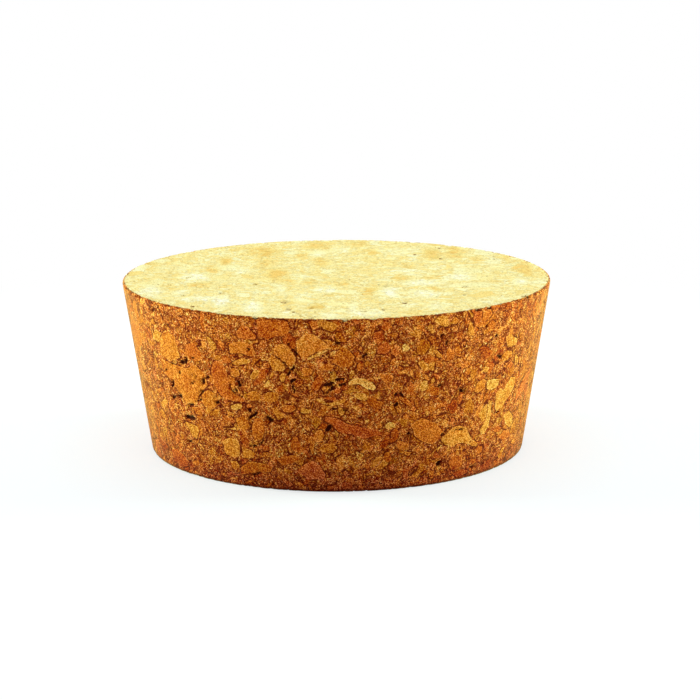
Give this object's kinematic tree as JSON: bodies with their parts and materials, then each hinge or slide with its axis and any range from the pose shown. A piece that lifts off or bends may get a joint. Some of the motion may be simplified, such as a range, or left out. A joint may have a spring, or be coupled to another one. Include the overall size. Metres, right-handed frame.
{
  "type": "cork stopper",
  "caption": "Wide, shallow tapered stopper of pressed cork granules, for plugging a wide jar mouth.",
  "frame": {"origin": "centre of the narrow end face, which the stopper stands on", "axes": "+Z along the axis of the taper, from the narrow end up to the wide end; X and Y are equal"},
  "size_m": [0.0748, 0.0748, 0.03],
  "materials": {
    "cork": "matt ground agglomerated cork, pale on the end faces and darker orange-brown on the tapered side"
  },
  "bodies": {
    "root": {"stopper": "cork"}
  },
  "joints": []
}
